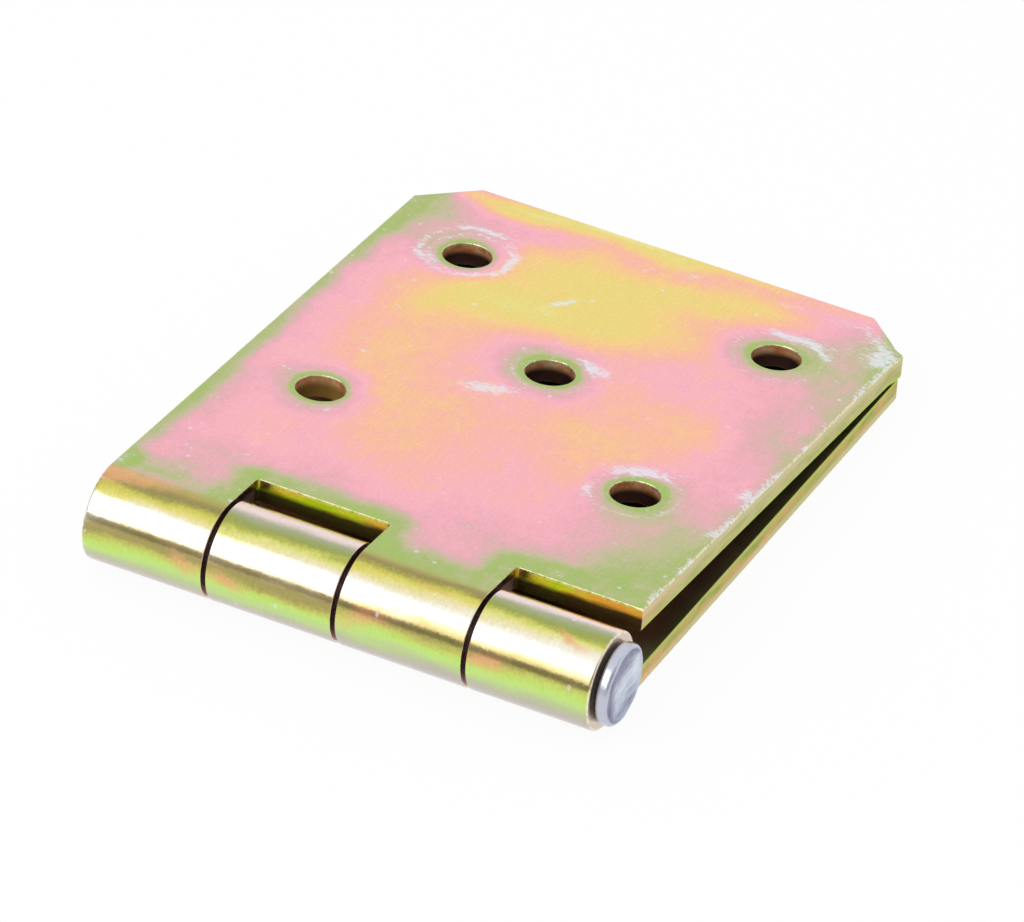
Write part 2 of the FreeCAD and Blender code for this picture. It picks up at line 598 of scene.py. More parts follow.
def rimDistanceGroup():
    # Distance in millimetres from a point of the sheet to its outline, its notches and its holes
    tree, entry, leave = newGroup(
        "Distance to rims", [("Along", 0.0), ("Across", 0.0)], ["Outline", "Notches", "Holes"])
    along, across = entry["Along"], entry["Across"]
    fromMiddle = calc("ABSOLUTE", along)
    side = minus(halfLength, fromMiddle)
    free = minus(sheet["width"], across)
    corner = minus(calc("ADD", side, free), sheet["cornerCut"])
    straight = calc("MINIMUM", side, free)
    feed(leave["Outline"], calc("MINIMUM", straight, times(corner, math.sqrt(0.5))))
    above = calc("MAXIMUM", minus(across, notchBack), 0)
    farAway = 1000.0
    nearest = farAway
    for start, end in ((knuckles[0][1], knuckles[1][0]), (knuckles[1][1], 2 * halfLength)):
        left = minus(start, along)
        right = minus(along, end)
        beside = calc("MAXIMUM", calc("MAXIMUM", left, right), 0)
        squares = calc("ADD", times(above, above), times(beside, beside))
        nearest = calc("MINIMUM", nearest, calc("SQRT", squares))
    feed(leave["Notches"], nearest)
    folded = combine(fromMiddle, across)
    nearest = farAway
    for centre in [(0, holeMiddle)] + [(sheet["holeColumn"], row) for row in sheet["holeRows"]]:
        nearest = calc("MINIMUM", nearest, distanceTo(folded, (*centre, 0)))
    feed(leave["Holes"], minus(nearest, sheet["holeRadius"]))
    return tree


addedInputs = [("Amount", 1.0), ("Before", 0.0)]


def softPatchGroup():
    # Adds an oval patch, full in its middle and fading smoothly, to the value that comes in
    inputs = [("Place", None), ("Centre", None), ("Size", None), ("Turn", 0.0)]
    tree, entry, leave = newGroup("Soft patch", inputs + addedInputs, ["Value"])
    off = vectorCalc("SUBTRACT", entry["Place"], entry["Centre"])
    inOval = vectorCalc("DIVIDE", turnedBy(off, entry["Turn"]), entry["Size"])
    square = vectorCalc("DOT_PRODUCT", inOval, inOval, output="Value")
    fade = calc("EXPONENT", times(square, -1))
    feed(leave["Value"], added(entry["Before"], fade, entry["Amount"]))
    return tree


def rubbedRingGroup():
    # Adds a circle to the value that comes in: one that a screw head or washer rubbed, or a ring of painted shade
    inputs = [("Place", None), ("Centre", None), ("Radius", 5.0), ("Width", 0.5)]
    tree, entry, leave = newGroup("Rubbed or shade ring", inputs + addedInputs, ["Value"])
    distance = distanceTo(entry["Place"], entry["Centre"])
    off = calc("ABSOLUTE", minus(distance, entry["Radius"]))
    line = softStep(off, entry["Width"], 0.0)
    feed(leave["Value"], added(entry["Before"], line, entry["Amount"]))
    return tree


# Lines stand where a drawn-out cloud crosses a level, and a second cloud lets some through
scratchLook = {
    "drawnOut": (0.16, 1.5, 1.0),
    "level": 0.6,
    "line": (0.012, 0.003),
    "gateScale": 0.4,
    "gate": (0.72, 0.8),
    "gateShift": 0.3,
}


def scratchGroup():
    # Thin scattered scratches that run one way and break off
    inputs = [("Place", None), ("Turn", 0.0), ("Fineness", 1.0), ("Amount", 0.5)]
    tree, entry, leave = newGroup("Scratches", inputs, ["Mask"])
    turned = turnedBy(entry["Place"], entry["Turn"])
    drawn = vectorCalc("MULTIPLY", turned, scratchLook["drawnOut"])
    lines = cloud(scaled(drawn, entry["Fineness"]), 1.0, 2.0, 0.5)
    fromLine = calc("ABSOLUTE", minus(lines, scratchLook["level"]))
    allowed = cloud(entry["Place"], scratchLook["gateScale"], 2.0, 0.6)
    allowed = added(allowed, entry["Amount"], scratchLook["gateShift"])
    line = softStep(fromLine, *scratchLook["line"])
    feed(leave["Mask"], times(line, softStep(allowed, *scratchLook["gate"])))
    return tree


steelGrainLook = {
    "fine": (1.0, 3.0, 0.65),
    "broad": (0.35, 2.0, 0.55),
    "fineHeight": 0.45,
    "broadHeight": 0.4,
}


def grainGroup():
    # Fine rolled and pickled steel surface: a height for bumps and a change of roughness
    inputs = [("Place", None), ("Stretch", None)]
    tree, entry, leave = newGroup("Steel grain", inputs, ["Height", "Roughness"])
    drawn = vectorCalc("MULTIPLY", entry["Place"], entry["Stretch"])
    fine = cloud(drawn, *steelGrainLook["fine"])
    broad = cloud(entry["Place"], *steelGrainLook["broad"])
    height = added(times(fine, steelGrainLook["fineHeight"]), broad, steelGrainLook["broadHeight"])
    feed(leave["Height"], height)
    feed(leave["Roughness"], minus(calc("ADD", fine, broad), 1.0))
    return tree


rimDistance = rimDistanceGroup()
softPatch = softPatchGroup()
rubbedRing = rubbedRingGroup()
scratches = scratchGroup()
steelGrain = grainGroup()
print("finish groups made")


def addSmears(value, place, smears):
    for centre, size, turned, amount in smears:
        values = {"Place": place, "Centre": (*centre, 0), "Size": (*size, 1), "Turn": math.radians(-turned)}
        value = useGroup(softPatch, {**values, "Amount": amount, "Before": value})[0]
    return value


def addRings(value, place, rings):
    for centre, radius, width, amount in rings:
        values = {"Place": place, "Centre": (*centre, 0), "Radius": radius, "Width": width}
        value = useGroup(rubbedRing, {**values, "Amount": amount, "Before": value})[0]
    return value


# Bare marks that screw heads and handling left, and where the film is thicker or thinner.
# A spot or smear is (along, across), (half length, half width), turn in degrees, amount.
upperPlating = {
    "filmBase": 0.55,
    "spots": [
        ((-6, 71.5), (11, 8), 10, 0.4), ((-16, 59.5), (7, 6), 30, 0.31),
        ((-8, 60.5), (6, 4.5), 0, 0.3), ((3, 64), (8, 4.5), 15, 0.27),
        ((12, 77), (12, 4.2), 14, 0.33), ((-14, 83), (15, 1.9), 2, 0.54),
        ((2, 84.4), (20, 1.6), 0, 0.3), ((-18, 45), (6, 12), 0, 0.16),
        ((-8, 30), (7, 13), 20, 0.14), ((10, 38), (10, 8), -20, 0.15), ((18, 47), (6, 5), 0, 0.12),
        ((8, 64), (9, 5), 0, 0.1), ((16, 80), (9, 2.4), 14, -0.12),
        ((-19, 77.5), (11, 2.6), 6, -0.16), ((-30, 46), (4, 24), 0, -0.07),
        ((20, 60), (10, 4), 0, -0.03), ((29, 52), (6, 20), 0, -0.18), ((28, 77), (7, 7), 0, -0.2),
        ((-5, 50), (5, 4), 0, -0.1), ((3, 44), (5, 3.5), 0, -0.08), ((-24, 7), (9, 8), 0, -0.06),
        ((-4, 9), (30, 6), 0, -0.12), ((24, 21), (9, 8), 25, -0.16), ((28, 8), (15, 8), 25, -0.42),
        ((31, 22), (4, 10), 0, -0.2), ((32, 72), (4, 8), 0, -0.16), ((-31, 75), (5, 9), 0, -0.36),
        ((27, 67), (4, 4), 0, -0.12), ((-31, 22), (3, 9), 0, -0.16),
        ((-27, -0.9), (5.5, 1.3), 0, 0.42), ((-31.5, -1.3), (2.8, 0.9), 0, 0.6),
        ((-19, -6.6), (2.4, 0.9), 0, 0.4), ((3, -6.4), (3.2, 0.8), 0, 0.5),
        ((11, -1.6), (5, 0.35), 0, 0.4),
    ],
    "barrel": upperBarrelColours,
    "bandSlope": 0.22,
    # Hole whose lower wall is painted lighter: painted light coming through the gap
    "litHole": (-20.5, 30.0),
    "wall": [(0.32, (0.43, 0.44, 0.12)), (0.48, (0.53, 0.50, 0.20)), (0.68, (0.66, 0.53, 0.28))],
    "fromBelow": False,
    "rings": [
        ((-20.8, 69.3), 5.8, 0.9, 0.62), ((-20.2, 69.0), 4.8, 0.7, 0.55),
        ((20.5, 68.8), 5.5, 0.8, 0.45), ((0.2, 49.6), 4.8, 0.7, 0.4), ((20.5, 29.8), 5.2, 0.8, 0.5),
        ((-20.5, 30.2), 5.4, 0.7, 0.3),
    ],
    "smears": [
        ((-21.5, 75), (4.5, 0.9), 5, 0.7), ((-25, 66), (2.6, 1.2), -25, 0.6),
        ((-15.2, 70), (0.9, 3.6), -8, 0.6), ((-6, 65.3), (2.3, 0.6), 52, 1.4),
        ((4, 53.4), (2.4, 1.1), -20, 1.4), ((-4.4, 41.7), (3.6, 1.3), 28, 1.3),
        ((-5, 52.4), (0.6, 0.6), 0, 1.0), ((19.0, 34.8), (4.0, 1.4), 14, 1.3),
        ((15.3, 27.3), (0.7, 1.9), 14, 0.8), ((20.5, 74.2), (4.0, 1.0), 0, 1.2),
        ((25, 72.5), (2.6, 0.8), -30, 0.8), ((31.2, 37.5), (0.8, 1.5), 0, 1.5),
        ((31.6, 27), (0.8, 1.2), 0, 1.1), ((30.9, 75.4), (1.3, 2.0), 0, 1.6),
        ((29.2, 79), (4.6, 1.0), -45, 0.8), ((27.5, 76), (3.5, 3.0), 0, 0.35),
        ((24, 81), (3.0, 0.9), 12, 0.6), ((-31.9, 2), (0.7, 1.6), 0, 0.8),
        ((-17.5, 26.3), (1.0, 1.2), 0, 0.5), ((4, 80.5), (2.6, 1.4), 20, 0.5),
        ((17, 81), (2.4, 0.6), 10, 0.6),
    ],
    "scratches": 0.42,
    "sideWear": 1.0,
    "endWear": 0.7,
    "leftBorder": (3.4, 0.33),
    "rightBorder": (2.6, 0.16),
    "freeBorder": (0.5, 0.2),
    "seed": 0.0,
}
lowerPlating = {
    "filmBase": 0.54,
    "spots": [
        ((6, 58), (14, 12), 30, 0.36), ((-16, 34), (9, 12), 10, 0.26),
        ((14, 24), (10, 7), -15, 0.2), ((-10, 80), (16, 2), 0, 0.3), ((26, 70), (8, 8), 0, -0.12),
        ((-28, 60), (5, 14), 0, -0.15), ((0, 12), (20, 5), 0, -0.1),
        ((14.2, -7.6), (2.2, 0.8), 0, 0.5), ((-18.6, -8.2), (2.0, 0.9), 0, 0.55),
        ((-29, -11.9), (2.6, 0.5), 0, 0.5),
    ],
    "barrel": lowerBarrelColours,
    "bandSlope": -0.22,
    # Hole whose lower wall is painted lighter: painted light coming through the gap
    "litHole": (20.5, 30.0),
    "wall": [
        (0.34, (0.30, 0.36, 0.05)), (0.46, (0.46, 0.46, 0.09)), (0.57, (0.60, 0.40, 0.13)),
        (0.68, (0.84, 0.36, 0.18)),
    ],
    "fromBelow": True,
    "rings": [((20.5, 68.8), 5.6, 0.5, 0.5), ((-20.5, 30.2), 5.4, 0.4, 0.4)],
    "smears": [((10, 60), (3, 1), 30, 0.8), ((-25, 20), (1, 3), 0, 0.8), ((22, 40), (3, 0.8), -30, 0.8)],
    "scratches": 0.35,
    "sideWear": 0.5,
    "endWear": 0.0,
    "leftBorder": (3.6, 0.4),
    "rightBorder": (4.4, 0.44),
    "freeBorder": (3.0, 0.4),
    "seed": 41.0,
}

# Shared by both leaves. A mask's last two numbers are where it begins and where it is full,
# in millimetres on the flat sheet or in a cloud's own value.
plate = {
    "clouds": {
        "broad": (None, 0.11, 3.0, 0.6),
        "mottle": (None, 0.55, 4.0, 0.65),
        "speckle": (None, 2.3, 3.0, 0.7),
        "flakes": ((8, (1.7, 0.42, 1)), 1.5, 5.0, 0.74),
        "runs": ((0, (10, 1.8, 1)), 1.0, 3.0, 0.5),
        "brushed": ((0, (0.35, 4, 1)), 1.0, 2.0, 0.6),
    },
    "spotDrift": (0.1, 2.6),
    "driftSeed": 359,
    "filmClouds": {"broad": 0.29, "mottle": 0.2, "speckle": 0.1, "brushed": 0.03},
    "wander": 6,
    "wallDrawn": (0.22, 0.22, 1.1),
    "masks": {
        "onBarrel": ("across", 0.9, -0.7),
        "atRight": ("along", 8, 30),
        "atFree": ("across", 76, 83),
        "innerByBarrel": ("nearBarrel", 13, 3),
        "dullInside": ("nearBarrel", 16, 4),
        "onInner": ("depth", 2.93, 2.99),
        "underRim": ("depth", 0.12, 0.3),
        "overInner": ("depth", 2.97, 2.9),
        "wallByBarrel": ("across", 20, 7),
        "knuckleEnd": ("across", 1.0, -0.5),
        "holeWall": ("holes", 0.5, 0.3),
        "notchWall": ("notches", 0.3, 0.1),
        "notchRow": ("across", notchBack + 0.4, notchBack + 0.2),
        "besideKnuckle": ("across", notchBack - 0.2, notchBack - 0.7),
        "rimTop": ("depth", 0.02, 0.08),
        "rimFoot": ("depth", 0.42, 0.28),
        "rimBroken": ("speckle", 0.36, 0.56),
        "wearPatches": ("broad", 0.4, 0.62),
        "wornCurl": ("across", 1.0, -1.0),
        "outerSide": ("depth", 0.5, 0.1),
    },
    "depthMasks": {
        "torn": ("wallRuns", 0.8, 1.2, 1.9),
        "innerEdge": ("wallRuns", 0.5, 2.65, 2.95),
        "deepHole": ("mottle", 0.6, 0.95, 1.95),
        "deepNotch": ("wallRuns", 0.9, 1.4, 2.1),
    },
    "borderWander": 0.45,
    "thinnings": [
        ("notches", 0.4, (4.6, 0.0), -0.42),
        ("holes", 0.25, (5.4, 0.0), -0.25),
        ("holes", 0.25, (1.2, 0.3), -0.26),
        ("across", 0.7, (6.5, 0.0), -0.42),
    ],
    "thinnest": (0.09, {"mottle": 0.5, "broad": 0.4}),
    "lowFront": (70, 84),
    "bandRuns": (22, 26),
    "bandSpeckle": 8,
    "warmClouds": {"mottle": 0.5, "speckle": 0.3},
    "warm": (0.05, 0.5),
    "warmColour": (0.84, 0.44, 0.22),
    "burnishedColour": (0.53, 0.50, 0.20),
    "byBarrelColour": (0.74, 0.44, 0.20),
    "innerEdgeColour": (0.46, 0.64, 0.06),
    "barrelEndColour": (0.66, 0.58, 0.50),
    "knuckleGapColour": (0.55, 0.36, 0.38),
    "holeWall": [(0.36, (0.66, 0.27, 0.10)), (0.5, (0.98, 0.53, 0.25)), (0.62, (0.99, 0.74, 0.46))],
    # Near black down the hole walls is painted shade; the lit hole's colour is painted light
    "holePaintedShadeColour": (0.035, 0.015, 0.018),
    "litHoleColour": (0.42, 0.28, 0.08),
    "notchWall": [(0.36, (0.44, 0.62, 0.03)), (0.48, (0.66, 0.76, 0.06)), (0.6, (0.84, 0.44, 0.12))],
    # Near black low on the notch walls: painted shade over the torn zone
    "notchPaintedShadeColour": (0.05, 0.03, 0.02),
    # Inner faces between the leaves are darkened and browned: painted shade of the gap
    "innerPaintedShade": (0.58, 0.61, 0.52),
    "innerPaintedShadeByBarrel": (0.72, 0.50, 0.28),
    "innerPaintedShadeBrown": (0.46, 0.33, 0.20),
    # Painted highlight along the rounded top edges, partly standing for polished wear
    "rimLightColour": (0.95, 0.82, 0.62),
    "rubbedColour": (0.80, 0.83, 0.88),
    "markShake": 2.4,
    "dots": {"scale": 0.35, "size": (0.13, 0.06), "chosen": (0.7, 0.8), "amount": 0.6},
    "scratchTurns": (0.6, -0.9),
    "scratchAmount": 0.7,
    "grain": (3.0, 2.2, 3.0),
    "grainRoughness": 0.14,
    "rough": {"plate": 0.36, "barrel": 0.15, "burnished": 0.24, "torn": 0.5, "hole": 0.55, "rubbed": 0.42},
    "mottleBump": (0.3, 0.48),
    "speckleBump": (0.15, 0.46),
    "bumpDistance": 0.000022,
}


def addFilm(piece, finish):
    # Stores the slow part of the film's thickness on the mesh, where it costs nothing to render
    mesh = piece.data
    mesh.attributes.new("filmPatches", "FLOAT", "POINT")
    film = mesh.attributes["filmPatches"].data
    scale, reach = plate["spotDrift"]
    # Without a seed noise_vector differs in each run
    noise.seed_set(plate["driftSeed"])
    for index, flat in enumerate(mesh.attributes["flatPlace"].data):
        x, y, _ = flat.vector
        drift = noise.noise_vector(Vector((x * scale, y * scale, finish["seed"]))) * reach
        value = finish["filmBase"]
        for centre, size, turn, amount in finish["spots"]:
            dx, dy = x + drift.x - centre[0], y + drift.y - centre[1]
            angle = math.radians(turn)
            alongSpot = (dx * math.cos(angle) + dy * math.sin(angle)) / size[0]
            acrossSpot = (dy * math.cos(angle) - dx * math.sin(angle)) / size[1]
            value += amount * math.exp(-alongSpot ** 2 - acrossSpot ** 2)
        film[index].value = value


def readPlate(finish):
    # What the plating depends on: the place on the flat sheet, its clouds and its nearest rims
    flat = attribute("flatPlace", "Vector")
    at = {"film": attribute("filmPatches", "Fac")}
    at["along"], at["across"], at["depth"] = separate(flat)
    at["onSheet"] = vectorCalc("MULTIPLY", flat, (1, 1, 0))
    at["seeded"] = vectorCalc("ADD", flat, (finish["seed"],) * 3)
    for name, (drawn, scale, detail, roughness) in plate["clouds"].items():
        place = stretch(at["seeded"], *drawn) if drawn else at["seeded"]
        at[name] = cloud(place, scale, detail, roughness)
    rims = useGroup(rimDistance, {"Along": at["along"], "Across": at["across"]})
    at["outline"], at["notches"], at["holes"] = rims["Outline"], rims["Notches"], rims["Holes"]
    at["wander"] = times(minus(at["broad"], 0.5), plate["wander"])
    at["nearBarrel"] = added(at["across"], at["wander"], 0.7)
    at["wallRuns"] = cloud(vectorCalc("MULTIPLY", at["seeded"], plate["wallDrawn"]), 1.0, 3.0, 0.6)
    for name, (place, begins, full) in plate["masks"].items():
        at[name] = softStep(at[place], begins, full)
    for name, (cloudName, swing, begins, full) in plate["depthMasks"].items():
        at[name] = softStep(added(at["depth"], at[cloudName], swing), begins, full)
    at["onWall"] = times(at["underRim"], at["overInner"])
    return at


def swayedBy(at, value, amounts):
    for cloudName, amount in amounts.items():
        value = swayed(value, at[cloudName], amount)
    return value


def over(below, above, mask, amount=1.0):
    return mixColour(mask if amount == 1.0 else times(mask, amount), below, above)


def platingColour(at, finish):
    # Colour of the film over the flat face: thin in a border along the sheared edges
    film = swayedBy(at, at["film"], plate["filmClouds"])
    width, thinned = [
        mixValue(at["atFree"], mixValue(at["atRight"], left, right), free)
        for left, right, free in zip(finish["leftBorder"], finish["rightBorder"], finish["freeBorder"])
    ]
    fromEdge = added(at["outline"], at["wander"], plate["borderWander"])
    inBorder = softStep(calc("DIVIDE", fromEdge, width), 1.0, 0.0)
    film = minus(film, times(inBorder, thinned))
    for place, swing, step, amount in plate["thinnings"]:
        near = added(at[place], at["wander"], swing)
        film = added(film, softStep(near, *step), amount)
    base, amounts = plate["thinnest"]
    film = calc("MAXIMUM", film, swayedBy(at, base, amounts))
    thickest = filmColours[-1][0]
    stops = [(place / thickest, colour) for place, colour in filmColours]
    return colourRamp(calc("DIVIDE", film, thickest), stops)


def barrelColour(at, finish):
    # Bands round the barrel, drifting along it and turning at the knuckles' ends; film colours with a painted
    # highlight and a painted dark reflection band
    turn = times(at["across"], -180 / math.pi / neutralRadius)
    if finish["fromBelow"]:
        turn = minus(180, turn)
    lowFront = softStep(turn, *plate["lowFront"])
    drift = swayed(0.0, at["runs"], mixValue(lowFront, *plate["bandRuns"]))
    drift = swayed(drift, at["speckle"], plate["bandSpeckle"])
    turn = calc("ADD", turn, added(drift, at["along"], finish["bandSlope"]))
    first = finish["barrel"][0][0]
    stops = [((degrees - first) / 360, colour) for degrees, colour in finish["barrel"]]
    bands = colourRamp(added(-first / 360, turn, 1 / 360), stops)
    warm = minus(at["film"], finish["filmBase"])
    warm = softStep(swayedBy(at, warm, plate["warmClouds"]), *plate["warm"])
    return over(bands, plate["warmColour"], warm, 0.8)


def wallColour(at, finish):
    # Sheared walls: burnished under the outer face, torn and dull below
    walls = colourRamp(at["wallRuns"], finish["wall"])
    walls = mixColour(added(0.5, at["torn"], -0.5), walls, plate["burnishedColour"])
    walls = over(walls, plate["byBarrelColour"], at["wallByBarrel"], 0.5)
    walls = over(walls, plate["innerEdgeColour"], at["innerEdge"], 0.8)

    # ends of the knuckles
    betweenKnuckles = softStep(calc("ABSOLUTE", at["along"]), halfLength - 0.5, halfLength - 1)
    ends = mixColour(betweenKnuckles, plate["barrelEndColour"], plate["knuckleGapColour"])
    walls = over(walls, ends, at["knuckleEnd"], 0.8)

    # screw holes: lower walls painted near black as shade, and one of them painted lighter as if lit from below
    holeWalls = colourRamp(at["mottle"], plate["holeWall"])
    lit = softStep(distanceTo(at["onSheet"], (*finish["litHole"], 0)), 5, 4)
    deep = mixColour(lit, plate["holePaintedShadeColour"], plate["litHoleColour"])
    holeWalls = over(holeWalls, deep, at["deepHole"], 0.96)
    walls = mixColour(at["holeWall"], walls, holeWalls)

    # notches: lower walls painted near black as shade over the darker torn zone
    notchWalls = colourRamp(added(at["wallRuns"], at["along"], 0.005), plate["notchWall"])
    notchWalls = over(notchWalls, plate["notchPaintedShadeColour"], at["deepNotch"], 0.94)
    notchWalls = mixColour(at["besideKnuckle"], notchWalls, plate["knuckleGapColour"])
    return mixColour(times(at["notchRow"], at["notchWall"]), walls, notchWalls)


def bareMarks(at, finish):
    # Mask of the places where the plating is rubbed off
    shaken = combine(minus(at["mottle"], 0.5), minus(at["broad"], 0.5))
    place = vectorCalc("ADD", at["onSheet"], scaled(shaken, plate["markShake"]))
    marks = addSmears(addRings(0.0, place, finish["rings"]), place, finish["smears"])

    # broken up into flakes
    marks = calc("MINIMUM", marks, 1.2)
    flaked = swayed(times(marks, 0.36), at["flakes"], 1.9)
    marks = times(softStep(marks, 0.04, 0.3), softStep(flaked, 0.18, 0.44))

    # specks along the right edge and the barrel's far left end
    onFace = added(1.0, at["onBarrel"], -1.0)
    atSide = softStep(minus(halfLength, at["along"]), 1.6, 0.1)
    sideWear = times(atSide, at["wearPatches"], onFace, finish["sideWear"])
    atEnd = softStep(calc("ADD", at["along"], halfLength), 1.3, 0.1)
    endWear = times(atEnd, at["wornCurl"], finish["endWear"])
    worn = swayed(times(calc("ADD", sideWear, endWear), 0.5), at["speckle"], 1.3)
    marks = added(marks, softStep(worn, 0.32, 0.54), 0.85)

    # small dents and scratches all over the face
    look = plate["dots"]
    dots = put("TexVoronoi", {"Vector": at["seeded"], "Scale": look["scale"]}).outputs
    chosen = softStep(separate(dots["Color"])[0], *look["chosen"])
    dotMask = times(softStep(dots["Distance"], *look["size"]), chosen)
    marks = added(marks, dotMask, look["amount"])
    for turned in plate["scratchTurns"]:
        values = {"Place": at["seeded"], "Turn": turned, "Amount": finish["scratches"]}
        line = times(useGroup(scratches, values)["Mask"], onFace)
        marks = added(marks, line, plate["scratchAmount"])
    return times(calc("MINIMUM", marks, 1.0), at["outerSide"])


def platingMaterial(name, finish):
    material, shader = newMaterial(name)
    at = readPlate(finish)
    face = platingColour(at, finish)
    colour = mixColour(at["onBarrel"], face, barrelColour(at, finish))
    colour = mixColour(at["onWall"], colour, wallColour(at, finish))
    # Inner faces: plating darkened and browned as painted shade between the leaves
    dulling = mixColour(at["innerByBarrel"], plate["innerPaintedShade"], plate["innerPaintedShadeByBarrel"])
    inner = mixColour(1.0, face, dulling, "MULTIPLY")
    inner = mixColour(0.5, inner, plate["innerPaintedShadeBrown"])
    colour = mixColour(at["onInner"], colour, inner)
    # Painted highlight along the rounded top edges, partly standing for polished wear
    rimLight = times(at["rimTop"], at["rimFoot"], at["rimBroken"])
    colour = over(colour, plate["rimLightColour"], rimLight, 0.75)
    shade = swayedBy(at, 0.98, {"speckle": 0.2, "brushed": 0.08})
    marks = bareMarks(at, finish)
    colour = over(scaled(colour, shade), plate["rubbedColour"], marks, 0.85)
    feed(shader["Base Color"], colour)

    # Gloss: satin face, smooth barrel, dull torn walls
    level = plate["rough"]
    grain = useGroup(steelGrain, {"Place": at["seeded"], "Stretch": plate["grain"]})
    rough = mixValue(at["onBarrel"], level["plate"], level["barrel"])
    wallRough = mixValue(at["torn"], level["burnished"], level["torn"])
    wallRough = mixValue(at["holeWall"], wallRough, level["hole"])
    rough = mixValue(at["onWall"], rough, wallRough)
    rough = added(rough, grain["Roughness"], plate["grainRoughness"])
    feed(shader["Roughness"], mixValue(times(marks, 0.8), rough, level["rubbed"]))
    feed(shader["Metallic"], added(1.0, times(at["onInner"], at["dullInside"]), -0.5))
    height = grain["Height"]
    for cloudName in ("mottle", "speckle"):
        bump = mixValue(at["onBarrel"], *plate[cloudName + "Bump"])
        height = added(height, at[cloudName], bump)
    strength = added(1.0, at["onWall"], -0.5)
    values = {"Height": height, "Strength": strength, "Distance": plate["bumpDistance"]}
    feed(shader["Normal"], put("Bump", values).outputs["Normal"])
    return material


# A smear is (towards the back, upwards), (half length, half width), turn in degrees, lightness
pinFinish = {
    "colours": [
        (0.0, (0.10, 0.10, 0.20)), (0.3, (0.22, 0.24, 0.37)), (0.6, (0.46, 0.51, 0.62)),
        (1.0, (0.74, 0.80, 0.86)),
    ],
    "smears": [
        # The first and third smears darken a crescent inside the rim: painted shade of the dished face
        ((-1.6, 2.4), (3.4, 0.9), 8, -0.42), ((0.4, 0.2), (4.2, 1.1), 26, 0.3),
        ((-3.3, -1.4), (1.3, 2.0), 20, -0.36), ((3.4, 0.0), (1.0, 3.0), 10, 0.24),
        ((1.4, -3.2), (2.4, 0.7), 18, -0.2), ((-0.5, -1.9), (3.0, 0.5), 24, 0.2),
    ],
    "dishShade": [((0.9, -0.7), 4.8, 1.1, -0.42)],
    "base": 0.48,
    "cloudAmount": 0.9,
    "rim": (4.35, 4.7),
    "light": (0.72, 0.78, 0.84),
    "rimColour": (0.60, 0.61, 0.70),
    "shankColour": (0.45, 0.45, 0.46),
    "roughness": 0.24,
    "bumpDistance": 0.00005,
}


def pinMaterial(name):
    material, shader = newMaterial(name)
    flat = attribute("flatPlace", "Vector")
    along, back, upward = separate(flat)
    fromMiddle = vectorCalc("LENGTH", vectorCalc("MULTIPLY", flat, (0, 1, 1)), output="Value")

    # Hammer smears over the face, each broken up by fine clouds, with a crescent of painted shade inside the rim
    onFace = combine(back, upward)
    cloudy = cloud(stretch(onFace, 20, (1.6, 0.6, 1)), 0.9, 4.0, 0.65)
    smear = swayed(pinFinish["base"], cloudy, pinFinish["cloudAmount"])
    smear = addSmears(smear, onFace, pinFinish["smears"])
    # Painted shade: a dark crescent just inside the rim of the dished face
    smear = addRings(smear, onFace, pinFinish["dishShade"])
    colour = colourRamp(smear, pinFinish["colours"])
    lines = useGroup(scratches, {"Place": flat, "Turn": 0.4, "Fineness": 2.4, "Amount": 0.9})
    colour = over(colour, pinFinish["light"], lines["Mask"], 0.5)
    onRim = softStep(fromMiddle, *pinFinish["rim"])
    colour = over(colour, pinFinish["rimColour"], onRim, 0.8)
    onHead = softStep(along, halfLength, halfLength + 0.2)
    feed(shader["Base Color"], mixColour(onHead, pinFinish["shankColour"], colour))

    grain = useGroup(steelGrain, {"Place": flat, "Stretch": (2, 2, 2)})
    rough = added(pinFinish["roughness"], grain["Roughness"], 0.2)
    feed(shader["Roughness"], added(rough, onRim, 0.05))
    shader["Metallic"].default_value = 1.0
    values = {"Height": grain["Height"], "Strength": 1.0, "Distance": pinFinish["bumpDistance"]}
    feed(shader["Normal"], put("Bump", values).outputs["Normal"])
    return material


# Pieces on their bodies

def closedSlope():
    # Angle between the closed leaves, whose free edges all but touch
    bore = sheet["boreRadius"]
    reach = math.hypot(sheet["width"], bore)
    return math.asin((bore - sheet["closedGap"]) / reach) + math.atan(bore / sheet["width"])


# Bent-out metal by the bare corner: (along, across), half width, shift
cornerBurrs = [
    ((32.3, 77.6), 1.0, (0.55, -0.1, 0.1)), ((31.6, 79.6), 0.7, (-0.12, -0.1, 0.0)),
]
upperLeaf = buildLeaf("UpperLeaf", False, closedSlope(), cornerBurrs)
lowerLeaf = buildLeaf("LowerLeaf", True, 0, [])
addFilm(upperLeaf, upperPlating)
addFilm(lowerLeaf, lowerPlating)
pieces = [
    (upperLeaf, "upper_leaf", "plated_leaf", platingMaterial("upperLeafPlating", upperPlating)),
    (lowerLeaf, "lower_leaf", "plated_leaf", platingMaterial("lowerLeafPlating", lowerPlating)),
    (buildPin("HingePin"), "hinge_pin", "bare_pin", pinMaterial("upsetPinSteel")),
]
bodyOf = {node: body for body, nodes in frame["record"]["behaviour"]["bodies"].items() for node in nodes}
for piece, node, slotName, material in pieces:
    piece.data.materials.append(material)
    frame["nodes"][node].data.materials.clear()
    frame["nodes"][node].data.materials.append(material)
    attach(piece, bodyOf[node])
    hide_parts(node)
print("pieces placed:", ", ".join(piece.name for piece, _, _, _ in pieces))


# White table, studio light and camera

studio = {
    "floorSize": 6.0,
    "floorColour": (0.92, 0.92, 0.95, 1),
    "floorWhite": 0.93,
    "floorDrop": 0.00002,
    "frontRoom": 0.45,
    "backWall": 1.0,
    "backward": (-0.35, 0.6),
    "overhead": (0.70, 0.84),
}
softBox = {
    "azimuth": -23,
    "elevation": 34,
    "distance": 1.2,
    "width": 1.7,
    "height": 0.88,
    "radiance": 1.7,
}
camera = {
    "azimuth": 23.84,
    "elevation": 33.86,
    "roll": 4.77,
    "target": (3.42, -16.33, 6.70),
    "distance": 1318.4,
    "lens": 398.05,
}


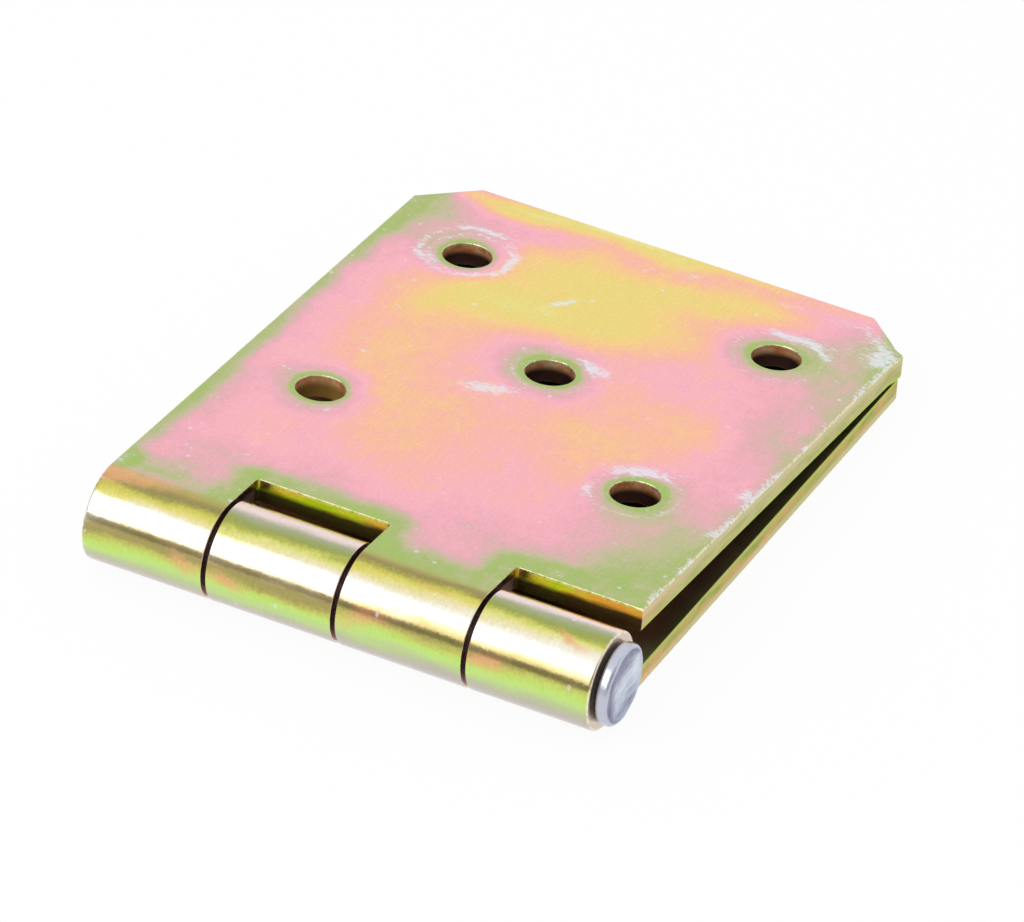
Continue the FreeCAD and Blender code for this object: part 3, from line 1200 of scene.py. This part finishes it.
def buildFloor():
    bm = bmesh.new()
    bmesh.ops.create_grid(bm, x_segments=8, y_segments=8, size=studio["floorSize"] / 2)
    mesh = bpy.data.meshes.new("WhiteTable")
    bm.to_mesh(mesh)
    bm.free()
    floor = addObject("WhiteTable", mesh)
    floor.location.z = cadBox[0][2] - studio["floorDrop"]
    material, shader = newMaterial("tablePaper")
    nodes = material.node_tree.nodes
    shader["Base Color"].default_value = studio["floorColour"]
    shader["Roughness"].default_value = 0.9
    shader["Specular IOR Level"].default_value = 0.1
    path = put("LightPath").outputs
    mirrored = calc("MAXIMUM", path["Is Glossy Ray"], path["Is Transmission Ray"])
    seen = calc("MAXIMUM", path["Is Camera Ray"], mirrored)
    glow = put("Emission", {"Color": (1, 1, 1, 1), "Strength": 1.0}).outputs[0]
    share = times(seen, studio["floorWhite"])
    mix = put("MixShader", {0: share, 1: nodes["Principled BSDF"].outputs[0], 2: glow})
    feed(nodes["Material Output"].inputs["Surface"], mix.outputs[0])
    mesh.materials.append(material)


def buildWorld():
    # A pale room, bright behind the table and dimmer in front of it
    world = bpy.data.worlds.new("studioRoom")
    bpy.context.scene.world = world
    world.use_nodes = True
    opened.append(world.node_tree)
    direction = put("TexCoord").outputs["Generated"]
    _, y, z = separate(direction)
    bright = calc("MAXIMUM", softStep(y, *studio["backward"]), softStep(z, *studio["overhead"]))
    level = mixValue(bright, studio["frontRoom"], studio["backWall"])
    background = world.node_tree.nodes["Background"]
    background.inputs["Color"].default_value = (1, 1, 1, 1)
    feed(background.inputs["Strength"], level)


def directionTo(place):
    # Azimuth is counted from the front of the barrel towards the pin's head
    turn = math.radians(place["azimuth"])
    rise = math.radians(place["elevation"])
    return Vector((math.sin(turn) * math.cos(rise), -math.cos(turn) * math.cos(rise), math.sin(rise)))


def addSoftBox(name):
    towards = directionTo(softBox)
    light = bpy.data.lights.new(name, "AREA")
    light.shape = "RECTANGLE"
    light.size = softBox["width"]
    light.size_y = softBox["height"]
    light.energy = softBox["radiance"] * softBox["width"] * softBox["height"] * math.pi
    lamp = addObject(name, light)
    lamp.location = towards * softBox["distance"]
    lamp.rotation_euler = towards.to_track_quat("Z", "Y").to_euler()
    lamp.visible_camera = False


def placeCamera():
    roll = math.radians(camera["roll"])
    back = directionTo(camera)
    right = (-back).cross(Vector((0, 0, 1))).normalized()
    up = right.cross(-back)
    across = right * math.cos(roll) + up * math.sin(roll)
    upward = up * math.cos(roll) - right * math.sin(roll)
    data = bpy.data.cameras.new("photoCamera")
    data.sensor_width = 36
    data.lens = camera["lens"]
    data.clip_end = 20
    view = addObject("photoCamera", data)
    turned = Matrix((across, upward, back)).transposed().to_4x4()
    place = (Vector(camera["target"]) + back * camera["distance"]) * mm
    view.matrix_world = Matrix.Translation(place) @ turned
    bpy.context.scene.camera = view


buildFloor()
buildWorld()
addSoftBox("frontSoftBox")
placeCamera()
bpy.context.scene.view_settings.view_transform = "Standard"
print("studio set")
